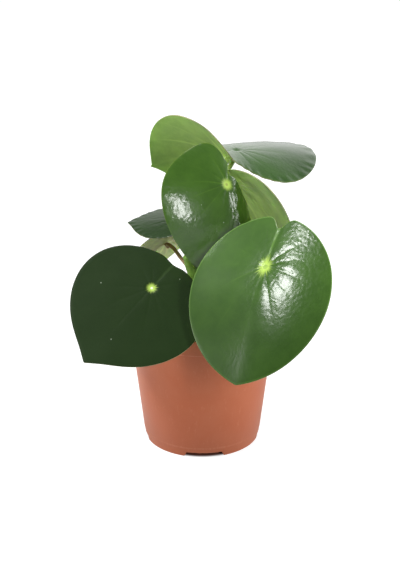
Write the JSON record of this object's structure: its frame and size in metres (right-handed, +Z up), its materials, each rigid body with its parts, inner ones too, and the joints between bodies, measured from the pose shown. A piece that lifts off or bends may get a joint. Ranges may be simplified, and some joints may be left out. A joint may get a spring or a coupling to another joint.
{
  "type": "potted peperomia",
  "caption": "House plant with large glossy shield-shaped leaves on long stalks, which grow from one short upright stem in a round tapered plastic pot with a rim band.",
  "frame": {"origin": "centre of the pot's underside, on the surface that the pot stands on", "axes": "+Z up, -Y towards the front of the plant, +X to the right as seen from the front"},
  "size_m": [0.191, 0.2581, 0.2578],
  "materials": {
    "pot": "satin terracotta-coloured moulded plastic",
    "soil": "loose dark potting soil",
    "stem": "fleshy green stem",
    "leaf_blade": "glossy dark green leaf with a paler underside",
    "leaf_stalk": "fleshy pale green leaf stalk",
    "reddish_leaf_stalk": "fleshy reddish brown leaf stalk"
  },
  "bodies": {
    "root": {"pot": "pot", "soil": "soil", "stem": "stem", "leaf_front_right_blade": "leaf_blade", "leaf_front_right_stalk": "leaf_stalk", "leaf_front_left_blade": "leaf_blade", "leaf_front_left_stalk": "leaf_stalk", "leaf_upper_middle_blade": "leaf_blade", "leaf_upper_middle_stalk": "leaf_stalk", "leaf_top_left_blade": "leaf_blade", "leaf_top_left_stalk": "leaf_stalk", "leaf_top_right_blade": "leaf_blade", "leaf_top_right_stalk": "leaf_stalk", "leaf_back_right_blade": "leaf_blade", "leaf_back_right_stalk": "leaf_stalk", "leaf_mid_left_blade": "leaf_blade", "leaf_mid_left_stalk": "leaf_stalk", "leaf_back_left_blade": "leaf_blade", "leaf_back_left_stalk": "reddish_leaf_stalk"}
  },
  "joints": []
}
